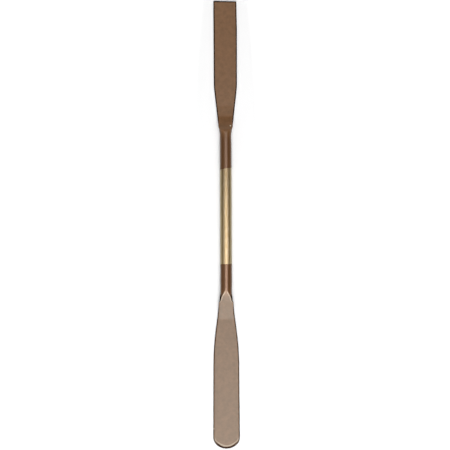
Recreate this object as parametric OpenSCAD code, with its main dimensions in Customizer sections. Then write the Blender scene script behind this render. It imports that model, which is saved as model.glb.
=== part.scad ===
// Double-ended laboratory spatula, forged from one length of round steel wire and coated at both ends.
// It lies along Y on the plane Z = 0, with the square blade towards +Y and the round one towards -Y.
// Each coated end is drawn in a frame of its own: shoulders at Y = 0, tip towards +Y, underside at Z = 0.
// It is what two solids share: the shank as it flares out, and the blade swept with its broken edges.

/* [Overall] */
// Length of the whole tool, tip to tip
tool_len = 210; // [190:1:260]

/* [Shank] */
// Diameter of the bare wire
wire_d = 5; // [4.5:0.1:5.6]
// Thickness of the coating
coat_t = 0.05; // [0.02:0.01:0.1]
// Length of the bare stretch between the two coatings
bare_len = 45; // [20:1:60]
// How far the bare stretch sits off the tool's middle, towards the square blade
bare_shift = 3.9; // [-8:0.1:8]

/* [Both blades] */
// Thickness of the blades
blade_t = 1.2; // [0.9:0.1:1.8]
// Angle off the axis at which the shoulders are trimmed, past the flare
shoulder_angle = 45; // [30:1:60]
// Width of the broken edges
edge_break = 0.3; // [0.1:0.05:0.4]

/* [Square blade] */
// Length from the shoulders to the square end
square_len = 59.5; // [50:0.5:70]
// Length of the taper, from the shoulders to the straight sides
square_taper_len = 19.2; // [15:0.1:26]
// Width across the shoulders
square_shoulder_w = 6.4; // [6:0.1:7.5]
// Length of the flare, from the shank out to the shoulders
square_flare_len = 3.3; // [1.2:0.1:3.6]
// Width where the straight sides begin
square_root_w = 10.8; // [9:0.1:14]
// Width at the square end
square_end_w = 11; // [9:0.1:14]
// Radius that blends the taper into the straight sides
square_blend_r = 30; // [10:1:60]
// Length of the ramp, from the shank's top line down to the blade
square_ramp_len = 12.2; // [10:0.1:14]
// Length of the ramp's start on the shank, before the shoulders
square_ramp_lead = 2.4; // [1.9:0.1:3.5]
// Radius of the ramp's crest
square_crest_r = 3.2; // [1.5:0.1:4]

/* [Round blade] */
// Length from the shoulders to the round tip
round_len = 69.3; // [55:0.1:80]
// Length of the taper, from the shoulders to the straight sides
round_taper_len = 23.3; // [19:0.1:30]
// Width across the shoulders
round_shoulder_w = 6.7; // [6.2:0.1:7.5]
// Length of the flare, from the shank out to the shoulders
round_flare_len = 1.4; // [1.3:0.1:3.6]
// Width where the straight sides begin
round_root_w = 11.85; // [10:0.05:14]
// Width where the tip's rounding begins
round_end_w = 12.3; // [10.5:0.1:13.5]
// Radius that blends the taper into the straight sides
round_blend_r = 140; // [20:5:150]
// Length of the ramp, from the shank's top line down to the blade
round_ramp_len = 14.5; // [12:0.1:17]
// Length of the ramp's start on the shank, before the shoulders
round_ramp_lead = 5.1; // [4.5:0.1:6]
// Radius of the ramp's crest
round_crest_r = 9; // [4:0.1:10]
// Radius of the tip's two corners
tip_corner_r = 4.5; // [2:0.1:5]
// Radius of the tip's nose, between the corners
tip_nose_r = 7; // [7:0.1:12]

/* [Hidden] */
$fn = 96;
// Largest angle between two stations round an arc, and between two rings of a flare
arc_step = 3;
flare_step = 8;
// Largest distance between two stations along the blend from the taper to the straight side
blend_step = 2.5;
// Stations closer than this along the axis are one
station_gap = 0.02;
// How far a solid reaches past what it meets
clear = 1;
// How far the flare stands out past the blade's walls at the shoulders, so that it meets them cleanly
shoulder_trim = 0.05;
coat_colour = "#7C5D46";
steel_colour = "#C9AC7C";

shank_r = wire_d / 2 + coat_t;
shank_d = 2 * shank_r;
square_shoulder_y = tool_len / 2 - square_len;
round_shoulder_y = round_len - tool_len / 2;
bare_start_y = bare_shift - bare_len / 2;
bare_end_y = bare_shift + bare_len / 2;

// Centres of the tip's nose and right-hand corner, and the angle off the axis at which they meet
tip_nose = [0, round_len - tip_nose_r];
tip_corner_x = round_end_w / 2 - tip_corner_r;
tip_angle = asin(tip_corner_x / (tip_nose_r - tip_corner_r));
tip_corner = tip_nose + (tip_nose_r - tip_corner_r) * along(tip_angle);

// Ends of the tapers on the right-hand side, and the lean of the straight sides that run on from them
square_root = [square_root_w / 2, square_taper_len];
square_corner = [square_end_w / 2, square_len];
square_side_lean = lean(square_corner - square_root);
round_root = [round_root_w / 2, round_taper_len];
round_side_len = sqrt(pow(norm(tip_corner - round_root), 2) - pow(tip_corner_r, 2));
round_side_lean = lean(tip_corner - round_root) + atan(tip_corner_r / round_side_len);

// Angle by which a direction leans off +Y towards +X
function lean(v) = atan2(v.x, v.y);
// Unit vector at such an angle
function along(angle) = [sin(angle), cos(angle)];
// How far an arc falls away from its tangent, at a distance along the tangent
function sagitta(r, distance) = r - sqrt(pow(r, 2) - pow(distance, 2));
// Values that divide a span into equal steps, each no larger than the one given
function steps(from, to, step) =
    let (count = ceil(abs(to - from) / step))
    [for (i = [0:count]) from + (to - from) * i / count];
// Levels in rising order, without those that lie closer together than stations may
function rising(levels) =
    len(levels) == 0 ? [] :
    let (pivot = levels[0])
    concat(
        rising([for (y = levels) if (y < pivot - station_gap) y]),
        [pivot],
        rising([for (y = levels) if (y > pivot + station_gap) y])
    );

// The ramp is an S of two arcs, a crest and a hollow, that meet at this slope
function ramp_slope(ramp_len) = 2 * atan((shank_d - blade_t) / ramp_len);
function hollow_r(ramp_len, crest_r) = ramp_len / sin(ramp_slope(ramp_len)) - crest_r;
// Height of the ramp and the blade at a level along the axis, level with the shank's top before the ramp
function ramp_height(y, ramp_len, ramp_lead, crest_r) =
    let (
        root_r = hollow_r(ramp_len, crest_r),
        past_top = y + ramp_lead,
        to_root = ramp_len - past_top
    )
    past_top < 0 ? shank_d :
    past_top < crest_r * sin(ramp_slope(ramp_len)) ? shank_d - sagitta(crest_r, past_top) :
    to_root > 0 ? blade_t + sagitta(root_r, to_root) :
    blade_t;
// Levels of the stations along the ramp
function ramp_levels(ramp_len, ramp_lead, crest_r) =
    let (slope = ramp_slope(ramp_len))
    concat(
        [for (a = steps(0, slope, arc_step)) crest_r * sin(a) - ramp_lead],
        [for (a = steps(0, slope, arc_step)) ramp_len - ramp_lead - hollow_r(ramp_len, crest_r) * sin(a)]
    );

// Lean of the taper's edge
function taper_lean(shoulder_w, root) = lean(root - [shoulder_w / 2, 0]);
// Levels between which a radius blends the taper into the straight side
function blend_ends(shoulder_w, root, side_lean, blend_r) =
    let (taper = taper_lean(shoulder_w, root), cut = blend_r * tan(abs(taper - side_lean) / 2))
    [root.y - cut * cos(taper), root.y + cut * cos(side_lean)];
// Levels of the stations along that blend
function blend_levels(shoulder_w, root, side_lean, blend_r) =
    let (ends = blend_ends(shoulder_w, root, side_lean, blend_r))
    steps(ends[0], ends[1], blend_step);
// Half the blade's width at a level
function half_width(y, shoulder_w, root, side_lean, blend_r) =
    let (
        taper = taper_lean(shoulder_w, root),
        blend = blend_ends(shoulder_w, root, side_lean, blend_r),
        centre_y = blend[0] + blend_r * sin(taper),
        start_x = shoulder_w / 2 + blend[0] * tan(taper)
    )
    y < blend[0] ? shoulder_w / 2 + y * tan(taper) :
    y < blend[1] ? start_x + blend_r * (1 - cos(taper)) - sagitta(blend_r, centre_y - y) :
    root.x + (y - root.y) * tan(side_lean);
// Stations on the right-hand side at the given levels: a point on the edge, and one past its breaking
function side_stations(levels, shoulder_w, root, side_lean, blend_r) = [
    for (y = levels)
        let (x = half_width(y, shoulder_w, root, side_lean, blend_r))
        [[x, y], [x - edge_break, y]]
];
// The same round an arc of the outline, at the given angles off the axis
function arc_stations(angles, centre, r) = [
    for (angle = angles) [centre + r * along(angle), centre + (r - edge_break) * along(angle)]
];

// Section of a swept blade at a station, from its right-hand bottom edge round to its left-hand one.
// Behind the flare and the ramp it opens out all round, clear of the shank.
function section(station, flare_len, ramp_len, ramp_lead, crest_r) =
    let (
        edge = station[0],
        inner = station[1],
        open = max(0, -flare_len - edge.y),
        open_top = min(open, max(0, -ramp_lead - edge.y)),
        top = ramp_height(edge.y, ramp_len, ramp_lead, crest_r) + open_top,
        right = [
            [inner.x + 2 * open, inner.y, -open],
            [edge.x + 2 * open, edge.y, edge_break - open],
            [edge.x + 2 * open, edge.y, top - edge_break],
            [inner.x + 2 * open, inner.y, top]
        ]
    )
    concat(right, [for (i = [3:-1:0]) [-right[i].x, right[i].y, right[i].z]]);

// Solid swept through sections of eight points each
module swept(sections) {
    count = 8;
    last = (len(sections) - 1) * count;
    polyhedron(
        [for (s = sections) each s],
        concat(
            [[for (j = [count - 1:-1:0]) j]],
            [
                for (i = [0:count:last - count], j = [0:count - 1])
                    let (next = (j + 1) % count)
                    [i + j, i + next, i + count + next, i + count + j]
            ],
            [for (j = [0:2]) [last + j, last + j + 1, last + 6 - j, last + 7 - j]]
        )
    );
}

// Shank that flares out about its own axis, in a hollow arc up to the shoulders and in a cone past them
module flared_shank(stem_len, blade_len, root_w, shoulder_w, flare_len) {
    shoulder_r = shoulder_w / 2 + shoulder_trim;
    turn = 2 * atan((shoulder_r - shank_r) / flare_len);
    flare_r = flare_len / sin(turn);
    rings = [
        for (a = steps(0, turn, flare_step))
            [shank_r + flare_r * (1 - cos(a)), flare_r * sin(a) - flare_len]
    ];
    cone_len = (root_w - shoulder_r) / tan(shoulder_angle);
    translate([0, 0, shank_r]) rotate([-90, 0, 0]) rotate_extrude() polygon(concat(
        [[0, -stem_len], [shank_r, -stem_len]],
        rings,
        [[root_w, cone_len], [root_w, blade_len + clear], [0, blade_len + clear]]
    ));
}

module square_end() {
    stem_len = square_shoulder_y - bare_end_y;
    levels = concat(
        [-stem_len - clear, -square_flare_len],
        ramp_levels(square_ramp_len, square_ramp_lead, square_crest_r),
        blend_levels(square_shoulder_w, square_root, square_side_lean, square_blend_r)
    );
    stations = concat(
        side_stations(rising(levels), square_shoulder_w, square_root, square_side_lean, square_blend_r),
        [[square_corner, square_corner - [edge_break, edge_break]]]
    );
    intersection() {
        flared_shank(stem_len, square_len, square_root_w, square_shoulder_w, square_flare_len);
        swept([
            for (s = stations)
                section(s, square_flare_len, square_ramp_len, square_ramp_lead, square_crest_r)
        ]);
    }
}

module round_end() {
    stem_len = bare_start_y - round_shoulder_y;
    levels = concat(
        [-stem_len - clear, -round_flare_len],
        ramp_levels(round_ramp_len, round_ramp_lead, round_crest_r),
        blend_levels(round_shoulder_w, round_root, round_side_lean, round_blend_r)
    );
    // The nose's stations stop half a step short of the axis, on either side of it
    nose_steps = ceil(tip_angle / arc_step);
    nose_angles = [for (i = [1:nose_steps]) tip_angle * (1 - i / (nose_steps + 0.5))];
    stations = concat(
        side_stations(rising(levels), round_shoulder_w, round_root, round_side_lean, round_blend_r),
        arc_stations(steps(90 + round_side_lean, tip_angle, arc_step), tip_corner, tip_corner_r),
        arc_stations(nose_angles, tip_nose, tip_nose_r)
    );
    intersection() {
        flared_shank(stem_len, round_len, round_root_w, round_shoulder_w, round_flare_len);
        swept([
            for (s = stations)
                section(s, round_flare_len, round_ramp_len, round_ramp_lead, round_crest_r)
        ]);
    }
}

// Bare wire, which runs a little way in under each coating
module bare_stretch() {
    translate([0, bare_start_y - clear, shank_r]) rotate([-90, 0, 0])
        cylinder(h = bare_len + 2 * clear, d = wire_d);
}

module spatula() {
    color(coat_colour) {
        translate([0, square_shoulder_y, 0]) square_end();
        translate([0, round_shoulder_y, 0]) rotate([0, 0, 180]) round_end();
    }
    color(steel_colour) bare_stretch();
}

spatula();
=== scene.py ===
import math

import bmesh
import bpy
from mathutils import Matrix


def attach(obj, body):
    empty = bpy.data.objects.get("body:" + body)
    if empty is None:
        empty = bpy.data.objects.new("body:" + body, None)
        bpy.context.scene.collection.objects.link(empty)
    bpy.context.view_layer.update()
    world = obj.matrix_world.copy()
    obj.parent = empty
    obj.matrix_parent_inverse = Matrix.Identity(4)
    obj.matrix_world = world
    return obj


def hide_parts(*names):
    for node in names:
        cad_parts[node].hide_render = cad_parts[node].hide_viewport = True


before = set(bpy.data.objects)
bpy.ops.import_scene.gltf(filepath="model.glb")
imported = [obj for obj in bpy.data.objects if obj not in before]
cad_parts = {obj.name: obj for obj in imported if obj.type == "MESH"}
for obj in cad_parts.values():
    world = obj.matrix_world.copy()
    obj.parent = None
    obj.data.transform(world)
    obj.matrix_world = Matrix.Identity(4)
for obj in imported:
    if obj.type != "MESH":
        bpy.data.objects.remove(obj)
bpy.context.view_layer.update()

mm = 0.001


# the wire that both ends are forged from, all lengths in millimetres
shank = {
    "coatedRadius": 2.55,
    "wireRadius": 2.5,
    "wireOval": 0.045,     # the wire is a little wider than high
    "lopsided": 0.04,      # and bulges a little more to one side
    "coatThickness": 0.05,
    "bareFrom": -18.6,     # where the lower coating stops
    "bareTo": 26.4,        # where the upper one starts
    "tuckUnder": 1.0,      # how far the wire runs on inside each coating
    "around": 96,          # points round the wire
    "ringGap": 0.5,
    "lipLength": 0.12,     # rounded lip of the coating
    "lipSink": 1.3,        # how deep it closes, in coating thicknesses: just inside the wire
    "lipSteps": 4,
}

# what both ends share, in millimetres; places are counted from the shoulder, + towards the blade
bothEnds = {
    "bladeThickness": 1.2,
    "flareLength": 3.6,
    "shoulderAngle": math.radians(45),
    "edgeRadius": 0.55,          # round the blade
    "ridgeRadius": 0.2,          # tight on the forged ridge of the neck
    "ridgeOut": (-0.5, 5.5),
    "averaged": (-6, 12),        # where the sections are softened
    "ovalOut": (-2, 2),          # the shank's oval and its bulge run out towards the blade
    "bulgeOut": (-8, -4),
    "wanderReach": 3,            # the coating's wandering line is straight again this far in
    "waves": (3, 7),             # ripples round the shank in that line, slow and quick
    "quickWave": 0.4,            # the quick ones' share of the slow ones' height
    "facets": [],                # the ramp's hollow is dressed into facets, which meet this far
    "dressed": 0.0,              # from its foot, and comes this share of the way to their chords
    "dipDepth": 0.0,             # shallow dip where the grinding wheel stopped
    "dipAt": 0.0,                # from the ramp's foot
    "dipReach": 0.7,
    "swell": 0.0,                # the shank thickens just before the shoulder
    "swellAt": -2.0,
    "swellReach": 1.1,
    "waist": 0.0,                # the side is drawn in a little where it leaves the shoulder
    "waistAtShoulder": 0.3,      # the share of that at the shoulder itself
    "waistIn": (0, 6),
    "waistOut": (4, 16),
    "trim": 0.0,                 # one side is dressed in a little towards the end
    "trimIn": (-16, 0),          # from the tip
    "skew": 0.0,                 # the end is cut a little askew
    "skewIn": (-12, 0),          # from the tip
    "ringGaps": {"lip": 0.1, "stem": 0.8, "neck": 0.12, "ramp": 0.3, "blade": 0.8},
    "lipReach": 1.6,             # where one stretch of rings gives way to the next
    "beforeRamp": 0.4,
    "pastShoulder": 2.5,
    "beforeFoot": 1,
    "edgePoints": 40,            # points round the blade's edge
    "flatPoints": 8,             # points on half of a flat
    "flatTo": 0.965,             # how near the flat's last point comes to the edge
    "averageSteps": 3,
    "weld": 0.002,               # points closer than this are joined
    "sliver": 0.001,             # and edges shorter than this dissolved
}
hair = 1e-9    # for comparing lengths


def eased(value, start, stop):
    # 0 up to start, 1 from stop on, with no kink between
    t = min(1.0, max(0.0, (value - start) / (stop - start)))
    return t * t * (3 - 2 * t)


def bell(value, middle, reach):
    return math.exp(-((value - middle) / reach) ** 2)


def lean(dx, dy):
    # angle off the tool's length
    return math.atan2(dx, dy)


def rampHeight(end, y):
    # the shank's top line, then a crest, then a hollow down to the blade
    top, low = 2 * shank["coatedRadius"], end["bladeThickness"]
    slope = 2 * math.atan((top - low) / end["rampLength"])
    crest = end["crestRadius"]
    crestRun = crest * math.sin(slope)
    hollow = end["rampLength"] / math.sin(slope) - crest
    past = y + end["rampLead"]
    left = end["rampLength"] - past
    if past < 0:
        return top
    if past < crestRun:
        return top - (crest - math.sqrt(crest ** 2 - past ** 2))
    stops = [0] + end["facets"] + [end["rampLength"] - crestRun]
    for a, b in zip(stops, stops[1:]):
        if a < left <= b:
            rise = [hollow - math.sqrt(hollow ** 2 - v ** 2) for v in (a, left, b)]
            chord = rise[0] + (rise[2] - rise[0]) * (left - a) / (b - a)
            low += rise[1] + end["dressed"] * (chord - rise[1])
            break
    return low - end["dipDepth"] * bell(left, end["dipAt"], end["dipReach"])


def flareRadius(end, y):
    # the shank swells in a hollow arc to the shoulders, then opens in a cone
    r, wide = shank["coatedRadius"], end["flareWidth"] / 2
    turn = 2 * math.atan((wide - r) / end["flareLength"])
    arc = end["flareLength"] / math.sin(turn)
    past = y + end["flareLength"]
    if past <= 0:
        return r
    if y <= 0:
        swell = end["swell"] * bell(y, end["swellAt"], end["swellReach"])
        return r + swell + arc - math.sqrt(arc ** 2 - past ** 2)
    return wide + y * math.tan(end["shoulderAngle"])


def halfWidth(end, y, sideLean):
    # tapering edge, a large radius, then the nearly parallel side
    taper = lean((end["rootWidth"] - end["shoulderWidth"]) / 2, end["taperLength"])
    r = end["blendRadius"]
    cut = r * math.tan(abs(taper - sideLean) / 2)
    start = end["taperLength"] - cut * math.cos(taper)
    stop = end["taperLength"] + cut * math.cos(sideLean)
    if y < start:
        most = end["waistAtShoulder"]
        drawn = end["waist"] * (1 - eased(y, *end["waistOut"]))
        drawn *= most + (1 - most) * eased(y, *end["waistIn"])
        return end["shoulderWidth"] / 2 + y * math.tan(taper) - drawn
    if y < stop:
        centre = start + r * math.sin(taper)
        startX = end["shoulderWidth"] / 2 + start * math.tan(taper)
        return startX + r * (1 - math.cos(taper)) - (r - math.sqrt(r ** 2 - (centre - y) ** 2))
    return end["rootWidth"] / 2 + (y - end["taperLength"]) * math.tan(sideLean)


def neckSection(end, y, sideLean, angles):
    # what the flaring shank and the blade share at this level, its corners rounded:
    # the farthest corner of the shrunken shape in each direction, pushed out by the rounding
    ridge = end["ridgeRadius"]
    e = ridge + (end["edgeRadius"] - ridge) * eased(y, *end["ridgeOut"])
    centre = shank["coatedRadius"]
    ring = flareRadius(end, y) - e
    low, high = e, rampHeight(end, y) - e
    wide = math.inf if y <= -end["flareLength"] else halfWidth(end, y, sideLean) - e

    corners = []
    for z in (low, high):
        onRing = math.sqrt(max(0, ring ** 2 - (z - centre) ** 2))
        corners.append((min(wide, onRing), z))
    if wide < ring:
        rise = math.sqrt(ring ** 2 - wide ** 2)
        corners += [(wide, z) for z in (centre - rise, centre + rise) if low <= z <= high]
    points = []
    for a in angles:
        across, up = math.cos(a), math.sin(a)
        tries = list(corners)
        x, z = ring * across, centre + ring * up
        if x <= wide + hair and low - hair <= z <= high + hair:
            tries.append((x, z))
        x, z = max(tries, key=lambda c: c[0] * across + c[1] * up)
        points.append((x + e * across, z + e * up))
    return points


def softSection(end, y, sideLean, angles):
    # averaged over a fraction of a millimetre, so that the shoulders are not knife-sharp
    first, last = end["averaged"]
    steps = end["averageSteps"]
    offsets = [0]
    if first < y < last:
        offsets = [end["shoulderSoftness"] * k / steps for k in range(-steps, steps + 1)]
    runs = [neckSection(end, y + o, sideLean, angles) for o in offsets]
    return [
        tuple(sum(run[i][axis] for run in runs) / len(runs) for axis in (0, 1))
        for i in range(len(angles))
    ]


def tipCorner(end):
    # centre of the round tip's corner arc, and the angle at which the nose arc takes over
    r, nose = end["cornerRadius"], end["noseRadius"]
    x = end["endWidth"] / 2 - r
    turn = math.asin(x / (nose - r))
    return x, end["length"] - nose + (nose - r) * math.cos(turn), turn


def longSide(end):
    # how much the blade's long side leans, and where it ends
    if end["tip"] == "square":
        dx = (end["endWidth"] - end["rootWidth"]) / 2
        return lean(dx, end["length"] - end["taperLength"]), end["length"] - end["edgeRadius"]
    x, y, turn = tipCorner(end)
    dx, dy = x - end["rootWidth"] / 2, y - end["taperLength"]
    r, run = end["cornerRadius"], math.hypot(dx, dy)
    return lean(dx, dy) + math.atan(r / math.sqrt(run ** 2 - r ** 2)), y


def noseEdge(end, a):
    # the round tip's edge is drawn out wider towards the nose
    e = end["edgeRadius"]
    return e + (end["noseEdge"] - e) * eased(math.pi / 2 - a, 0, end["noseSpread"])


def tipTurns(end, sideLean, lastY):
    # round the tip: the edge's inner point, the way it faces and how wide it is
    if end["tip"] == "square":
        e, count = end["edgeRadius"], end["cornerSteps"]
        x = halfWidth(end, lastY, sideLean) - e
        return [(x, lastY, math.pi / 2 * (1 - k / count), e) for k in range(1, count + 1)]
    cornerX, cornerY, turn = tipCorner(end)
    nose = end["noseRadius"]
    arcs = (
        (cornerX, cornerY, end["cornerRadius"], math.pi / 2, turn, end["cornerSteps"]),
        (0, end["length"] - nose, nose, turn, 0, end["noseSteps"]),
    )
    turns = []
    for x, y, radius, start, stop, count in arcs:
        for k in range(1, count + 1):
            a = start + (stop - start) * k / count
            wide = noseEdge(end, a)
            inner = radius - wide
            turns.append((x + inner * math.sin(a), y + inner * math.cos(a), a, wide))
    return turns


def edgeHeight(end, p):
    # height of the rounded edge where it faces p above the horizontal
    e = end["edgeRadius"]
    return (e if p < 0 else end["bladeThickness"] - e) + e * math.sin(p)


def spread(start, stop, step):
    count = max(1, math.ceil((stop - start) / step))
    return [start + (stop - start) * k / count for k in range(count + 1)]


def ringPlaces(end, lastY):
    # close together at the coating's lip and the neck, wider apart on the plain stretches
    start = -end["stemLength"]
    stops = {
        "lip": start + end["lipReach"],
        "stem": -end["rampLead"] - end["beforeRamp"],
        "neck": end["pastShoulder"],
        "ramp": end["rampLength"] - end["beforeFoot"],
        "blade": lastY,
    }
    places = [start]
    for stretch, stop in stops.items():
        places += spread(start, stop, end["ringGaps"][stretch])[1:]
        start = stop
    return places


def coatedEnd(end, angles, shares):
    # right-hand half of every ring, from the underside's middle round the edge to the top's middle
    sideLean, lastY = longSide(end)
    edges = []
    for y in ringPlaces(end, lastY):
        edges.append([(x, y, z) for x, z in softSection(end, y, sideLean, angles)])
    for x, y, a, wide in tipTurns(end, sideLean, lastY):
        edge = []
        for p in angles:
            out = wide * math.cos(p)
            edge.append((x + out * math.sin(a), y + out * math.cos(a), edgeHeight(end, p)))
        edges.append(edge)
    halves = []
    for edge in edges:
        under, over = edge[0], edge[-1]
        half = [(s * under[0], under[1], under[2]) for s in shares]
        half += edge
        half += [(s * over[0], over[1], over[2]) for s in reversed(shares)]
        halves.append(half)
    return halves


def wander(end, x, z):
    # the line where the coating stops wanders a little on its way round the shank
    around = math.atan2(x, z - shank["coatedRadius"])
    line = end["edgeLine"]
    slow, quick = end["waves"]
    shift = line["slant"] * math.sin(around) + line["sag"] * math.cos(around)
    shift += line["ripple"] * math.sin(slow * around + line["phase"])
    return shift + end["quickWave"] * line["ripple"] * math.sin(quick * around)


# where painted shade and painted highlight lie on the film: ranges in mm from the shoulder, where
# nothing else is said
film = {
    "rimsIn": (1, 3),           # the painted shade of the rims fades in past the shoulder
    "rimSoftness": 0.14,
    "noseIn": (-3, -1),         # from the tip
    "noseRimLater": 0.17,       # round the nose the rim begins this much lower on the edge
    "flankIn": (-4.2, -1.7),    # painted shade on the flanks beside the neck's ridge
    "flankOut": (0.1, 0.6),
    "flankUp": (-60, -40),      # degrees above the horizontal
    "flankDown": (62, 80),
    "ridgeIn": (-4.9, -3.9),    # painted highlight on the ridge between ramp and flank
    "ridgeOut": (0.1, 0.9),
    "highlightIn": (-6, -4),         # and round the nose's inner rim, from the tip
    "highlightReach": 0.3,
    "highlightAt": 0.95,             # of the drawn-out edge's width
    "glossOut": (-7, -1),       # the shank's thicker, glossier film runs out
}


def paintedShadeAt(end, y, a):
    # how much painted shade: along the blade's edges, and on the flanks under the neck's ridge
    share = 1 - abs(a) / (math.pi / 2)
    late = eased(y - end["length"], *film["noseIn"]) if end["tip"] == "round" else 0
    first = end["rimStart"] + film["noseRimLater"] * late
    edge = eased(share, first, first + film["rimSoftness"]) * eased(y, *film["rimsIn"])
    edge *= end["edgeShade"] + (1 - end["edgeShade"]) * late
    up = math.degrees(a)
    flank = eased(y, *film["flankIn"]) * (1 - eased(y, *film["flankOut"]))
    flank *= eased(up, *film["flankUp"]) * (1 - eased(up, *film["flankDown"]))
    return max(edge, flank * end["flankShade"])


def toRimLine(end, x, y):
    # how far a point lies from the line where the drawn-out edge of the round tip begins
    cornerX, cornerY, turn = tipCorner(end)
    a = lean(x - cornerX, y - cornerY)
    if a > turn:
        rim = film["highlightAt"] * noseEdge(end, a)
        return math.hypot(x - cornerX, y - cornerY) - end["cornerRadius"] + rim
    nose = end["noseRadius"]
    return math.hypot(x, y - end["length"] + nose) - nose + film["highlightAt"] * end["noseEdge"]


def paintedHighlightShare(end, x, y, z, ridge):
    # how much painted highlight: on the neck's ridge, and round the round tip's inner rim
    neck = eased(y, *film["ridgeIn"]) * (1 - eased(y, *film["ridgeOut"]))
    share = neck * bell(math.hypot(x - ridge[0], z - ridge[2]), 0, film["highlightReach"])
    if end["tip"] == "round" and z > end["bladeThickness"] / 2:
        rim = bell(toRimLine(end, x, y), 0, film["highlightReach"])
        share += rim * eased(y - end["length"], *film["highlightIn"])
    return share * end["highlightStrength"]


def addPiece(name, mesh):
    data = bpy.data.meshes.new(name)
    mesh.to_mesh(data)
    mesh.free()
    piece = bpy.data.objects.new(name, data)
    bpy.context.scene.collection.objects.link(piece)
    print(name, len(data.vertices), "points", len(data.polygons), "faces")
    return piece


def buildEnd(name, end):
    count = end["edgePoints"]
    angles = [-math.pi / 2 + math.pi * k / (count - 1) for k in range(count)]
    shares = [k / end["flatPoints"] for k in range(end["flatPoints"])] + [end["flatTo"]]
    halves = coatedEnd(end, angles, shares)
    mesh = bmesh.new()
    # the shares that the coating reads: painted shade, painted highlight and the shank's film
    paintedShadeLayer = mesh.verts.layers.float.new("paintedShadeShare")
    paintedHighlightLayer = mesh.verts.layers.float.new("paintedHighlightShare")
    shankLayer = mesh.verts.layers.float.new("shankShare")

    def place(x, y, z):
        # a point of the true end, moved by the wandering line, the oval, the trim and the skew
        start = -end["stemLength"]
        if y < start + end["wanderReach"]:
            y += wander(end, x, z) * (1 - eased(y, start, start + end["wanderReach"]))
        fromTip = y - end["length"]
        bulge = shank["lopsided"] * (1 - eased(y, *end["bulgeOut"])) if x * end["faces"] > 0 else 0
        x *= 1 + bulge + end["oval"] * (1 - eased(y, *end["ovalOut"]))
        if x > 0:
            x *= 1 - end["trim"] * eased(fromTip, *end["trimIn"])
        y -= end["skew"] * eased(fromTip, *end["skewIn"]) * (x + end["endWidth"] / 2)
        way = end["faces"]
        return mesh.verts.new((way * x * mm, way * (end["shoulderAt"] + y) * mm, z * mm))

    def addRing(half):
        # a half ring and its mirror, with the shares that the coating's material reads
        right = [place(*p) for p in half]
        left = [place(-x, y, z) for x, y, z in half[1:-1]]
        flat = len(shares)
        for i, vert in enumerate(right):
            inEdge = flat <= i < len(right) - flat
            x, y, z = half[i]
            vert[paintedShadeLayer] = paintedShadeAt(end, y, angles[i - flat]) if inEdge else 0
            vert[paintedHighlightLayer] = paintedHighlightShare(end, x, y, z, half[-flat - 1])
            vert[shankLayer] = 1 - eased(y, *film["glossOut"])
        for i, vert in enumerate(left):
            for layer in (paintedShadeLayer, paintedHighlightLayer, shankLayer):
                vert[layer] = right[i + 1][layer]
        return right + left[::-1]

    rings = [addRing(half) for half in halves]
    # the lip rounds in from the coated radius and closes on the wire
    centre = shank["coatedRadius"]
    for k in range(1, shank["lipSteps"] + 1):
        a = math.pi / 2 * k / shank["lipSteps"]
        inset = shank["coatThickness"] * shank["lipSink"] * (1 - math.cos(a))
        back = shank["lipLength"] * math.sin(a)
        scale = 1 - inset / centre
        half = [(x * scale, y - back, centre + (z - centre) * scale) for x, y, z in halves[0]]
        rings.insert(0, addRing(half))

    for a, b in zip(rings, rings[1:]):
        for i in range(len(a)):
            j = (i + 1) % len(a)
            mesh.faces.new((a[i], a[j], b[j], b[i]))
    if end["tip"] == "square":
        # the end's edge, from corner to corner
        sideX = halves[-1][len(shares)][0]
        lastY = end["length"] - end["edgeRadius"]
        columns = [sideX] + [s * sideX for s in reversed(shares)]
        columns += [-c for c in reversed(columns[:-1])]
        strips = []
        for x in columns:
            strip = []
            for p in angles:
                vert = place(x, lastY + end["edgeRadius"] * math.cos(p), edgeHeight(end, p))
                vert[paintedShadeLayer] = paintedShadeAt(end, lastY, p)
                strip.append(vert)
            strips.append(strip)
        for a, b in zip(strips, strips[1:]):
            for i in range(len(a) - 1):
                mesh.faces.new((a[i], a[i + 1], b[i + 1], b[i]))

    bmesh.ops.remove_doubles(mesh, verts=mesh.verts, dist=end["weld"] * mm)
    bmesh.ops.dissolve_degenerate(mesh, edges=mesh.edges, dist=end["sliver"] * mm)
    bmesh.ops.recalc_face_normals(mesh, faces=mesh.faces)
    for face in mesh.faces:
        face.smooth = True
    piece = addPiece(name, mesh)
    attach(piece, "root")
    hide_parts("spatula")
    return piece


squareEnd = {
    **bothEnds,
    "faces": 1,                 # towards +Y
    "shoulderAt": 45.5,         # from the tool's middle
    "stemLength": 45.5 - shank["bareTo"],
    "tip": "square",
    "length": 59.5,
    "taperLength": 19.2,
    "shoulderWidth": 6.5,
    "oval": 0.04,               # its stem is a little wider than high
    "flareWidth": 6.4,
    "shoulderSoftness": 0.3,
    "rootWidth": 10.8,
    "endWidth": 11.0,
    "blendRadius": 30,
    "rampLength": 12.2,
    "rampLead": 2.4,            # the ramp starts this far before the shoulder
    "crestRadius": 3.2,
    "facets": [4.8],
    "dressed": 0.6,
    "cornerSteps": 8,
    "rimStart": -0.07,          # where the painted shade of the rim begins: 0 the edge's top, 1 its side
    "edgeShade": 1.0,
    "trim": 0.04,
    "skew": 0.026,
    "flankShade": 0.0,
    # no painted highlight on this end
    "highlightStrength": 0.0,
    "edgeLine": {"slant": 0.4, "sag": 0.0, "ripple": 0.06, "phase": 0.7},
}
squareBlade = buildEnd("coated_square_end", squareEnd)

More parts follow.
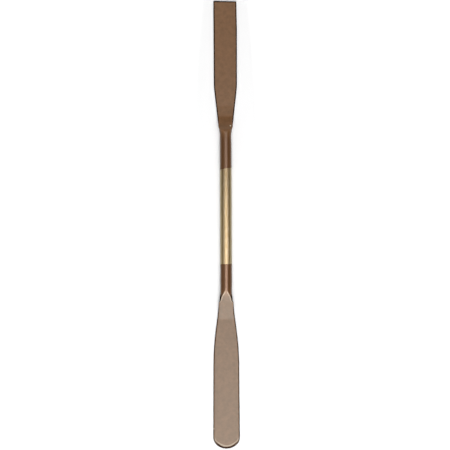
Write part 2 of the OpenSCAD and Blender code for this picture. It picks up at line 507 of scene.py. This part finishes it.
roundEnd = {
    **bothEnds,
    "faces": -1,                # towards -Y
    "shoulderAt": 35.7,
    "stemLength": 35.7 + shank["bareFrom"],
    "tip": "round",
    "length": 69.3,
    "taperLength": 23.3,
    "shoulderWidth": 6.7,
    "waist": 0.16,
    "oval": 0.045,
    "flareWidth": 5.9,
    "swell": 0.2,
    "shoulderSoftness": 0.25,
    "rootWidth": 11.95,
    "endWidth": 12.4,
    "blendRadius": 140,
    "rampLength": 15.8,
    "rampLead": 6.4,
    "crestRadius": 18,
    "dipDepth": 0.025,
    "dipAt": 0.9,
    "cornerRadius": 4.5,
    "cornerSteps": 18,
    "noseRadius": 7,
    "noseSteps": 14,
    "noseEdge": 1.4,            # width of the drawn-out edge at the nose
    "noseSpread": 1.1,          # radians over which it widens
    "rimStart": 0.02,
    "edgeShade": 0.75,          # less painted shade along the sides than round the nose
    "flankShade": 1.0,
    # how strong the painted highlight is on the ridge and round the tip's inner rim
    "highlightStrength": 0.8,
    "edgeLine": {"slant": 0.1, "sag": -0.2, "ripple": 0.05, "phase": 2.1},
}
roundBlade = buildEnd("coated_round_end", roundEnd)


def buildWire(name):
    mesh = bmesh.new()
    around, radius = shank["around"], shank["wireRadius"]
    first, last = shank["bareFrom"] - shank["tuckUnder"], shank["bareTo"] + shank["tuckUnder"]
    rings = []
    for y in spread(first, last, shank["ringGap"]):
        ring = []
        for k in range(around):
            a = 2 * math.pi * k / around
            x, z = math.sin(a), math.cos(a)
            oval = shank["wireOval"] + (shank["lopsided"] if x > 0 else 0)
            height = shank["coatedRadius"] + radius * z
            ring.append(mesh.verts.new((radius * (1 + oval) * x * mm, y * mm, height * mm)))
        rings.append(ring)
    for a, b in zip(rings, rings[1:]):
        for i in range(around):
            j = (i + 1) % around
            mesh.faces.new((a[i], a[j], b[j], b[i]))
    mesh.faces.new(rings[0])
    mesh.faces.new(rings[-1][::-1])
    bmesh.ops.recalc_face_normals(mesh, faces=mesh.faces)
    for face in mesh.faces:
        face.smooth = len(face.verts) == 4
    piece = addPiece(name, mesh)
    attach(piece, "root")
    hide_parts("spatula")
    return piece


wire = buildWire("bare_wire")


def colour(hexCode):
    # sRGB as written, turned to the linear values that Blender mixes in
    parts = [int(hexCode[i:i + 2], 16) / 255 for i in (1, 3, 5)]
    return tuple([p / 12.92 if p <= 0.04045 else ((p + 0.055) / 1.055) ** 2.4 for p in parts] + [1])


def addNode(tree, kind, at, values=None, **settings):
    # one node: its settings, then its sockets, where a socket given as a value is linked
    node = tree.nodes.new(kind)
    node.location = at
    for key, value in settings.items():
        setattr(node, key, value)
    for key, value in (values or {}).items():
        if isinstance(value, bpy.types.NodeSocket):
            tree.links.new(value, node.inputs[key])
        else:
            node.inputs[key].default_value = value
    return node


def blankMaterial(name):
    material = bpy.data.materials.new(name)
    material.use_nodes = True
    material.node_tree.nodes.clear()
    return material, material.node_tree


# fluoropolymer coating, sprayed on blasted steel and baked: a red-brown film under a satin veil,
# painted shade near-black along the edges and flanks, a painted highlight pale on the ridge and tip rim
coating = {
    "colour": "#7B5637",
    "darker": "#6B4A2C",
    "onShank": "#6C431B",
    # painted shade: near-black for the edges and the flanks under the neck's ridge
    "rim": "#2E180C",
    # painted highlight: pale colour for the neck's ridge and the tip's inner rim
    "paintedHighlight": "#B7A088",
    "veil": "#F2FFF4",
    "ior": 1.5,
    "shine": 0.28,
    "bladeRoughness": 0.25,
    "shankRoughness": 0.22,
    "rimRoughness": 1.0,
    "bladeGloss": 0.34,
    "shankGloss": 0.85,       # the film is thicker and glossier on the round shank
    "coatIor": 1.65,
    "coatRoughness": 0.34,
    "pigment": 0.4,           # bronze flakes lie flat in the shank's film, so its highlight is warm
    "cloudSize": 1.8,         # mm, thicker and thinner passes of the gun
    "cloudRange": (0.3, 0.7),
    "nickSize": 1.3,          # mm, nicks in the painted shade of the rims
    "nickRange": (0.63, 0.69),
    "nickKeeps": 0.1,         # of the painted shade's darkness
    "paleSpot": "#E8D9BE",        # pale colour of a few small round spots
    "paleSpots": [(2.3, 46.3, 0.38), (-5.45, -47.7, 0.3), (-6.0, -95.6, 0.3)],    # x, y, radius in mm
    "paleSpotCore": 0.5,          # of the radius
    "peelSize": 0.6,          # mm, orange peel of the baked film
    "peelDepth": 0.004,
}


def bakedFluoropolymer(c):
    material, tree = blankMaterial("sprayedBakedFluoropolymer")
    place = addNode(tree, "ShaderNodeTexCoord", (-1300, 0)).outputs["Object"]
    # the painted shade along the edges and flanks, as a share on the mesh
    edge = addNode(tree, "ShaderNodeAttribute", (-1000, 450), attribute_name="paintedShadeShare").outputs["Fac"]
    stem = addNode(tree, "ShaderNodeAttribute", (-1000, 700), attribute_name="shankShare").outputs["Fac"]
    # the painted highlight on the neck's ridge and the tip's inner rim, as a share on the mesh
    highlightMask = addNode(tree, "ShaderNodeAttribute", (-1000, 900), attribute_name="paintedHighlightShare").outputs["Fac"]

    # the film's colour: cloudy on the blade and darker on the shank, then a painted highlight, pale on
    # the neck's ridge and the tip's inner rim
    cloud = addNode(tree, "ShaderNodeTexNoise", (-1000, 150), {
        "Vector": place, "Scale": 1 / (c["cloudSize"] * mm), "Detail": 4.0, "Roughness": 0.6,
    })
    level = addNode(tree, "ShaderNodeMapRange", (-780, 150), {
        "Value": cloud.outputs["Fac"], "From Min": c["cloudRange"][0], "From Max": c["cloudRange"][1],
    })
    body = addNode(tree, "ShaderNodeMix", (-560, 150), {
        0: level.outputs["Result"], 6: colour(c["darker"]), 7: colour(c["colour"]),
    }, data_type="RGBA")
    onShank = addNode(tree, "ShaderNodeMix", (-560, 350), {
        0: stem, 6: body.outputs[2], 7: colour(c["onShank"]),
    }, data_type="RGBA")
    paintedHighlight = addNode(tree, "ShaderNodeMix", (-400, 500), {
        0: highlightMask, 6: onShank.outputs[2], 7: colour(c["paintedHighlight"]),
    }, data_type="RGBA")

    # painted shade on the rims and flanks, with nicks in it
    nick = addNode(tree, "ShaderNodeTexNoise", (-1000, 1100), {
        "Vector": place, "Scale": 1 / (c["nickSize"] * mm), "Detail": 2.0,
    })
    kept = addNode(tree, "ShaderNodeMapRange", (-780, 1100), {
        "Value": nick.outputs["Fac"], "From Min": c["nickRange"][0], "From Max": c["nickRange"][1],
        "To Min": 1.0, "To Max": c["nickKeeps"],
    })
    rim = addNode(tree, "ShaderNodeMath", (-560, 900), {
        0: edge, 1: kept.outputs["Result"],
    }, operation="MULTIPLY")
    rimmed = addNode(tree, "ShaderNodeMix", (-380, 250), {
        0: rim.outputs[0], 6: paintedHighlight.outputs[2], 7: colour(c["rim"]),
    }, data_type="RGBA")

    # a few small pale spots, each round as seen from above
    shown = rimmed.outputs[2]
    flat = addNode(tree, "ShaderNodeVectorMath", (-1100, 1300), {
        0: place, 1: (1, 1, 0),
    }, operation="MULTIPLY")
    for x, y, radius in c["paleSpots"]:
        apart = addNode(tree, "ShaderNodeVectorMath", (-900, 1300), {
            0: flat.outputs["Vector"], 1: (x * mm, y * mm, 0),
        }, operation="DISTANCE")
        paleSpot = addNode(tree, "ShaderNodeMapRange", (-700, 1300), {
            "Value": apart.outputs["Value"], "From Min": c["paleSpotCore"] * radius * mm,
            "From Max": radius * mm, "To Min": 1.0, "To Max": 0.0,
        })
        shown = addNode(tree, "ShaderNodeMix", (-350, 700), {
            0: paleSpot.outputs["Result"], 6: shown, 7: colour(c["paleSpot"]),
        }, data_type="RGBA").outputs[2]

    # roughness and gloss by where on the tool, both dull on the rims
    rough = addNode(tree, "ShaderNodeMapRange", (-560, -100), {
        "Value": stem, "To Min": c["bladeRoughness"], "To Max": c["shankRoughness"],
    })
    rough = addNode(tree, "ShaderNodeMapRange", (-400, -100), {
        "Value": edge, "To Min": rough.outputs["Result"], "To Max": c["rimRoughness"],
    })
    gloss = addNode(tree, "ShaderNodeMapRange", (-740, -220), {
        "Value": stem, "To Min": c["bladeGloss"], "To Max": c["shankGloss"],
    })
    gloss = addNode(tree, "ShaderNodeMapRange", (-560, -220), {
        "Value": edge, "To Min": gloss.outputs["Result"], "To Max": 0.0,
    })
    flakes = addNode(tree, "ShaderNodeMath", (-560, -480), {
        0: stem, 1: c["pigment"],
    }, operation="MULTIPLY")
    peel = addNode(tree, "ShaderNodeTexNoise", (-1000, -200), {
        "Vector": place, "Scale": 1 / (c["peelSize"] * mm), "Detail": 3.0, "Roughness": 0.55,
    })
    bump = addNode(tree, "ShaderNodeBump", (-560, -350), {
        "Height": peel.outputs["Fac"], "Strength": 1.0, "Distance": c["peelDepth"] * mm,
    })
    shader = addNode(tree, "ShaderNodeBsdfPrincipled", (-200, 100), {
        "Base Color": shown, "Metallic": flakes.outputs[0], "Roughness": rough.outputs["Result"],
        "IOR": c["ior"], "Specular IOR Level": c["shine"], "Specular Tint": colour(c["veil"]),
        "Coat Weight": gloss.outputs["Result"], "Coat IOR": c["coatIor"],
        "Coat Roughness": c["coatRoughness"], "Normal": bump.outputs["Normal"],
    })
    addNode(tree, "ShaderNodeOutputMaterial", (100, 100), {"Surface": shader.outputs["BSDF"]})
    return material


# stainless steel wire, drawn, polished lengthwise and tinted straw by the oven: a warm mirror
# whose highlight spreads round the wire, with faint lengthwise streaks
steel = {
    "straw": "#C9B493",
    "gold": "#B49970",
    "edgeTint": "#FFF4DC",
    "side": "#8C6A34",            # painted shade: a darker colour along the wire's sides
    "sideShadeShare": 0.6,
    "sideShadeIn": (1.25, 1.6),        # mm from the wire's middle line
    "pale": "#CDBC98",            # painted reflection: a paler colour where the wire turns under
    "reflectionBandIn": (1.75, 2.05),
    "roughness": 0.34,
    "anisotropy": 0.9,
    "streakWidth": 0.3,           # mm across the wire: real ones are far finer, and wouldn't show
    "streakLength": 3.5,          # mm along it
    "streakRange": (0.35, 0.65),
    "depth": 0.0015,
}


def strawTintedSteel(s):
    material, tree = blankMaterial("polishedStrawTintedStainless")
    place = addNode(tree, "ShaderNodeTexCoord", (-1300, 0)).outputs["Object"]
    across, along = 1 / (s["streakWidth"] * mm), 1 / (s["streakLength"] * mm)
    stretch = addNode(tree, "ShaderNodeMapping", (-1120, 0), {
        "Vector": place, "Scale": (across, along, across),
    })
    streak = addNode(tree, "ShaderNodeTexNoise", (-900, 0), {
        "Vector": stretch.outputs["Vector"], "Scale": 1.0, "Detail": 4.0, "Roughness": 0.6,
    })
    level = addNode(tree, "ShaderNodeMapRange", (-700, 100), {
        "Value": streak.outputs["Fac"], "From Min": s["streakRange"][0], "From Max": s["streakRange"][1],
    })
    body = addNode(tree, "ShaderNodeMix", (-500, 100), {
        0: level.outputs["Result"], 6: colour(s["gold"]), 7: colour(s["straw"]),
    }, data_type="RGBA")

    # painted shade along the sides, and painted reflection where the wire turns under, by how far aside
    # on the wire
    parts = addNode(tree, "ShaderNodeSeparateXYZ", (-900, 300), {"Vector": place})
    aside = addNode(tree, "ShaderNodeMath", (-700, 300), {
        0: parts.outputs["X"],
    }, operation="ABSOLUTE").outputs[0]
    side = addNode(tree, "ShaderNodeMapRange", (-500, 300), {
        "Value": aside, "From Min": s["sideShadeIn"][0] * mm, "From Max": s["sideShadeIn"][1] * mm,
        "To Max": s["sideShadeShare"],
    }, interpolation_type="SMOOTHSTEP")
    outside = addNode(tree, "ShaderNodeMapRange", (-500, 500), {
        "Value": aside, "From Min": s["reflectionBandIn"][0] * mm, "From Max": s["reflectionBandIn"][1] * mm,
    }, interpolation_type="SMOOTHSTEP")
    withPaintedShade = addNode(tree, "ShaderNodeMix", (-300, 300), {
        0: side.outputs["Result"], 6: body.outputs[2], 7: colour(s["side"]),
    }, data_type="RGBA")
    withPaintedReflection = addNode(tree, "ShaderNodeMix", (-250, 500), {
        0: outside.outputs["Result"], 6: withPaintedShade.outputs[2], 7: colour(s["pale"]),
    }, data_type="RGBA")

    bump = addNode(tree, "ShaderNodeBump", (-500, -400), {
        "Height": streak.outputs["Fac"], "Strength": 1.0, "Distance": s["depth"] * mm,
    })
    lay = addNode(tree, "ShaderNodeTangent", (-500, -650), direction_type="RADIAL", axis="Y")
    shader = addNode(tree, "ShaderNodeBsdfPrincipled", (-200, 100), {
        "Base Color": withPaintedReflection.outputs[2], "Metallic": 1.0, "Specular Tint": colour(s["edgeTint"]),
        "Roughness": s["roughness"], "Anisotropic": s["anisotropy"],
        "Tangent": lay.outputs["Tangent"], "Normal": bump.outputs["Normal"],
    })
    addNode(tree, "ShaderNodeOutputMaterial", (100, 100), {"Surface": shader.outputs["BSDF"]})
    return material


coatingMaterial = bakedFluoropolymer(coating)
for piece in (squareBlade, roundBlade):
    piece.data.materials.append(coatingMaterial)
wire.data.materials.append(strawTintedSteel(steel))
print("materials done")


# the table: a matt white sheet that keeps the shadow near the object and is plain white farther out
table = {
    "size": 3.0,           # metres
    "white": "#FAFAFA",    # as the camera sees it
    "grey": "#9A9A9A",     # as it lights the object from below
    "inGloss": 0.45,       # how much of the white is left in reflections, so that flanks stay dark
    "narrow": 9,           # the fade's oval is this much longer than wide
    "fadeFrom": 0.13,      # metres along the object
    "fadeTo": 0.22,
}


def buildTable(t):
    data = bpy.data.meshes.new("table")
    mesh = bmesh.new()
    h = t["size"] / 2
    mesh.faces.new([mesh.verts.new(p) for p in ((-h, -h, 0), (h, -h, 0), (h, h, 0), (-h, h, 0))])
    mesh.to_mesh(data)
    mesh.free()
    floor = bpy.data.objects.new("table", data)
    bpy.context.scene.collection.objects.link(floor)
    material, tree = blankMaterial("mattWhiteSheet")
    path = addNode(tree, "ShaderNodeLightPath", (-900, -200))
    inGloss = addNode(tree, "ShaderNodeMath", (-900, -400), {
        0: path.outputs["Is Glossy Ray"], 1: t["inGloss"],
    }, operation="MULTIPLY")
    seen = addNode(tree, "ShaderNodeMath", (-700, -200), {
        0: path.outputs["Is Camera Ray"], 1: inGloss.outputs[0],
    }, operation="ADD")
    seen = addNode(tree, "ShaderNodeMath", (-540, -200), {
        0: seen.outputs[0], 1: path.outputs["Is Transmission Ray"],
    }, operation="ADD", use_clamp=True)
    shade = addNode(tree, "ShaderNodeMix", (-540, 150), {
        0: seen.outputs[0], 6: colour(t["grey"]), 7: colour(t["white"]),
    }, data_type="RGBA")

    # away from the object the sheet fades to plain white for the camera
    where = addNode(tree, "ShaderNodeTexCoord", (-1100, -600))
    oval = addNode(tree, "ShaderNodeVectorMath", (-1000, -600), {
        0: where.outputs["Object"], 1: (t["narrow"], 1, 1),
    }, operation="MULTIPLY")
    away = addNode(tree, "ShaderNodeVectorMath", (-900, -600), {
        0: oval.outputs["Vector"],
    }, operation="LENGTH")
    far = addNode(tree, "ShaderNodeMapRange", (-700, -600), {
        "Value": away.outputs["Value"], "From Min": t["fadeFrom"], "From Max": t["fadeTo"],
    }, interpolation_type="SMOOTHSTEP")
    glow = addNode(tree, "ShaderNodeMath", (-540, -400), {
        0: far.outputs["Result"], 1: path.outputs["Is Camera Ray"],
    }, operation="MULTIPLY")

    matt = addNode(tree, "ShaderNodeBsdfDiffuse", (-380, 100), {"Color": shade.outputs[2]})
    lift = addNode(tree, "ShaderNodeEmission", (-200, -200), {"Strength": glow.outputs[0]})
    both = addNode(tree, "ShaderNodeAddShader", (0, 0), {0: matt.outputs[0], 1: lift.outputs[0]})
    addNode(tree, "ShaderNodeOutputMaterial", (200, 0), {"Surface": both.outputs[0]})
    data.materials.append(material)
    return floor


buildTable(table)
print("table done")

# lamps by the way they lie from the object: degrees off the vertical, plus towards +Y and minus
# towards -Y, then metres aside and away, the panel's two sizes in metres, and its radiance
lamps = {
    "window": {"towards": -20, "aside": -0.6, "away": 1.0, "wide": 3.0, "deep": 0.79, "radiance": 0.36},
    "softbox": {"towards": -17, "aside": 0.12, "away": 1.0, "wide": 0.74, "deep": 0.72, "radiance": 3.6},
    "sill": {"towards": -21, "aside": 0.05, "away": 0.98, "wide": 0.5, "deep": 0.3, "radiance": 1.9},
    "back": {"towards": -53, "aside": 0.0, "away": 1.0, "wide": 0.3, "deep": 0.66, "radiance": 6.1},
    "kicker": {"towards": 22, "aside": 0.0, "away": 1.0, "wide": 1.2, "deep": 0.16, "radiance": 1.5},
    "reflector": {"towards": 72, "aside": 0.0, "away": 1.0, "wide": 1.6, "deep": 0.4, "radiance": 0.9},
}


def hangLamp(name, lamp):
    a = math.radians(lamp["towards"])
    light = bpy.data.lights.new(name, "AREA")
    light.shape = "RECTANGLE"
    light.size, light.size_y = lamp["wide"], lamp["deep"]
    light.energy = lamp["radiance"] * math.pi * lamp["wide"] * lamp["deep"]
    holder = bpy.data.objects.new(name, light)
    holder.location = (lamp["aside"], lamp["away"] * math.sin(a), lamp["away"] * math.cos(a))
    holder.rotation_euler = (-a, 0, 0)
    holder.visible_camera = False
    bpy.context.scene.collection.objects.link(holder)


for name, lamp in lamps.items():
    hangLamp(name, lamp)

sky = {"white": "#FFFFFF", "light": 0.09, "seen": 1.0}    # plain white round the table for the camera
world = bpy.data.worlds.new("studio")
world.use_nodes = True
bpy.context.scene.world = world
skyTree = world.node_tree
background = skyTree.nodes["Background"]
path = addNode(skyTree, "ShaderNodeLightPath", (-500, 0))
level = addNode(skyTree, "ShaderNodeMapRange", (-250, 0), {
    "Value": path.outputs["Is Camera Ray"], "To Min": sky["light"], "To Max": sky["seen"],
})
background.inputs["Color"].default_value = colour(sky["white"])
skyTree.links.new(level.outputs["Result"], background.inputs["Strength"])
print("lamps done")

# camera: straight above, a long lens
view = {
    "height": 0.75,            # metres
    "pixel": 0.4688 * mm,      # one pixel at the height of the blades' tops
    "plane": 1.2 * mm,         # that height
    "width": 450,              # pixels
    "right": 0.87,             # how far the object lies off the middle, in pixels
    "up": 0.2,
    "roll": 0.0034,
    "sensor": 36,
    "clip": (0.01, 20),
}
camera = bpy.data.cameras.new("camera")
camera.sensor_width = view["sensor"]
camera.lens = view["sensor"] * (view["height"] - view["plane"]) / (view["width"] * view["pixel"])
camera.clip_start, camera.clip_end = view["clip"]
holder = bpy.data.objects.new("camera", camera)
holder.location = (-view["right"] * view["pixel"], -view["up"] * view["pixel"], view["height"])
holder.rotation_euler = (0, 0, -view["roll"])
bpy.context.scene.collection.objects.link(holder)
bpy.context.scene.camera = holder

bpy.context.scene.view_settings.view_transform = "Standard"
